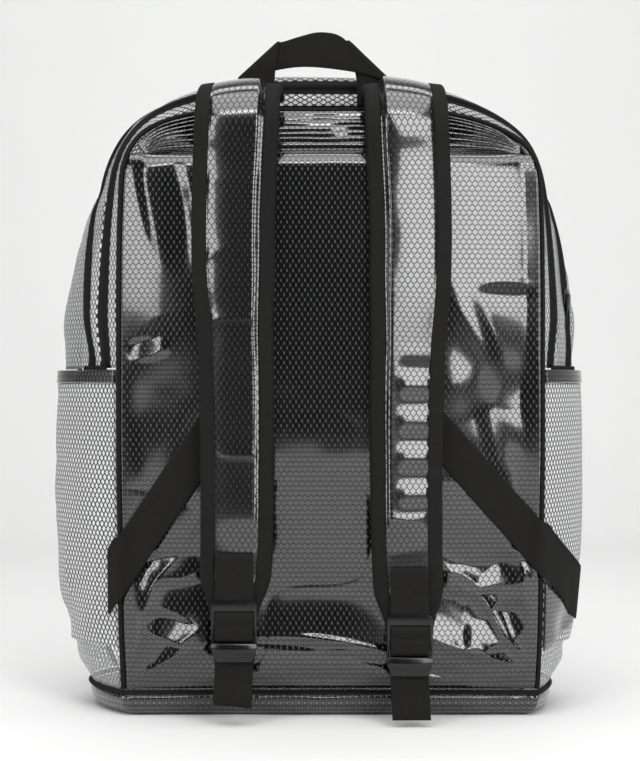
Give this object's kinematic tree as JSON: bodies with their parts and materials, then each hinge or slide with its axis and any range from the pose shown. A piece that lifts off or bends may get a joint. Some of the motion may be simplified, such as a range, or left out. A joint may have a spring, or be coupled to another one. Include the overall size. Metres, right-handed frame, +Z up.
{
  "type": "backpack",
  "caption": "Clear see-through backpack with a black padded back, net laminated film, padded shoulder straps with ladder locks, open side pockets and a webbing haul loop.",
  "frame": {"origin": "on the floor, under the middle of the whole object's box", "axes": "+Z up, -Y towards the wearer's back, where the straps are, +X to the right as seen from there"},
  "size_m": [0.3698, 0.174, 0.4637],
  "materials": {
    "clear_film": "clear glossy PVC film with a black net laminated in it",
    "backed_film": "clear glossy film with laminated net over black",
    "black_pad": "black padded cloth",
    "black_binding": "black grosgrain binding",
    "black_webbing": "matt black woven nylon webbing",
    "black_plastic": "moulded black plastic, glossy",
    "zip_black": "black zip tape and coil"
  },
  "bodies": {
    "root": {"bottom_panel": "black_pad", "base_seam": "black_binding", "back_pad": "black_pad", "back_film": "backed_film", "yoke": "backed_film", "back_piping": "black_binding", "front_piping": "black_binding", "front_panel": "clear_film", "rear_gusset": "clear_film", "main_zip": "zip_black", "middle_gusset": "clear_film", "second_zip": "zip_black", "front_gusset": "clear_film", "lower_side_left": "clear_film", "lower_side_right": "clear_film", "side_seam_left": "black_binding", "side_seam_right": "black_binding", "pocket_left": "clear_film", "pocket_right": "clear_film", "hem_left": "backed_film", "hem_right": "backed_film", "main_slider": "black_plastic", "second_slider": "black_plastic", "zip_pull": "black_plastic", "haul_loop": "black_webbing", "side_tab_right": "backed_film", "strap_pad_left": "black_pad", "strap_pad_right": "black_pad", "strap_film_left": "backed_film", "strap_film_right": "backed_film", "strap_binding_left_inner": "black_binding", "strap_binding_left_outer": "black_binding", "strap_binding_right_inner": "black_binding", "strap_binding_right_outer": "black_binding", "strap_patch_left": "black_webbing", "strap_patch_right": "black_webbing", "ladder_lock_left": "black_plastic", "ladder_lock_right": "black_plastic", "strap_webbing_left": "black_webbing", "strap_webbing_right": "black_webbing"}
  },
  "joints": []
}
